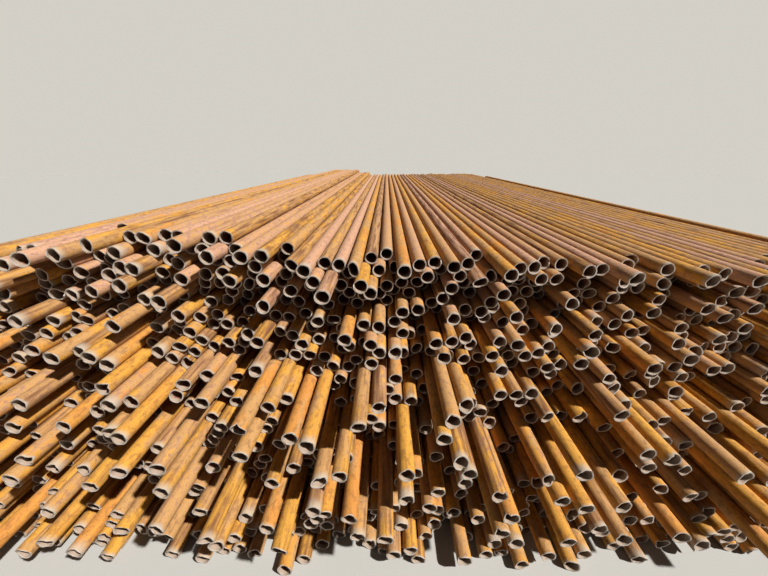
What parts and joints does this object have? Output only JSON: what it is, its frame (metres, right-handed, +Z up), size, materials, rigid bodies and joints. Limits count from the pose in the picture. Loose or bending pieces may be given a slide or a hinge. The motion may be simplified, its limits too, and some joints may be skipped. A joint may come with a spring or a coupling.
{
  "type": "stack of steel tubes",
  "caption": "Loose stack of long round rusted steel tubes lying one way in nested courses, with ragged torch-cut ends and a leaning near face.",
  "frame": {"origin": "on the ground, under the middle of the stack's box", "axes": "+Y along the tubes away from the ragged near face, +Z up, +X to the right seen from the near face"},
  "size_m": [6.1403, 6.9309, 1.292],
  "materials": {
    "rusted_tube_steel": "weathered orange and brown rust over hot-rolled steel, grey and scaled at the torch-cut ends"
  },
  "bodies": {
    "root": {"tube_course_01": "rusted_tube_steel", "tube_course_02": "rusted_tube_steel", "tube_course_03": "rusted_tube_steel", "tube_course_04": "rusted_tube_steel", "tube_course_05": "rusted_tube_steel", "tube_course_06": "rusted_tube_steel", "tube_course_07": "rusted_tube_steel", "tube_course_08": "rusted_tube_steel", "tube_course_09": "rusted_tube_steel", "tube_course_10": "rusted_tube_steel", "tube_course_11": "rusted_tube_steel", "tube_course_12": "rusted_tube_steel", "tube_course_13": "rusted_tube_steel", "tube_course_14": "rusted_tube_steel", "tube_course_15": "rusted_tube_steel", "tube_course_16": "rusted_tube_steel", "tube_course_17": "rusted_tube_steel", "tube_course_18": "rusted_tube_steel", "tube_course_19": "rusted_tube_steel", "tube_course_20": "rusted_tube_steel", "tube_course_21": "rusted_tube_steel", "tube_course_22": "rusted_tube_steel", "tube_course_23": "rusted_tube_steel", "tube_course_24": "rusted_tube_steel", "tube_course_25": "rusted_tube_steel"}
  },
  "joints": []
}
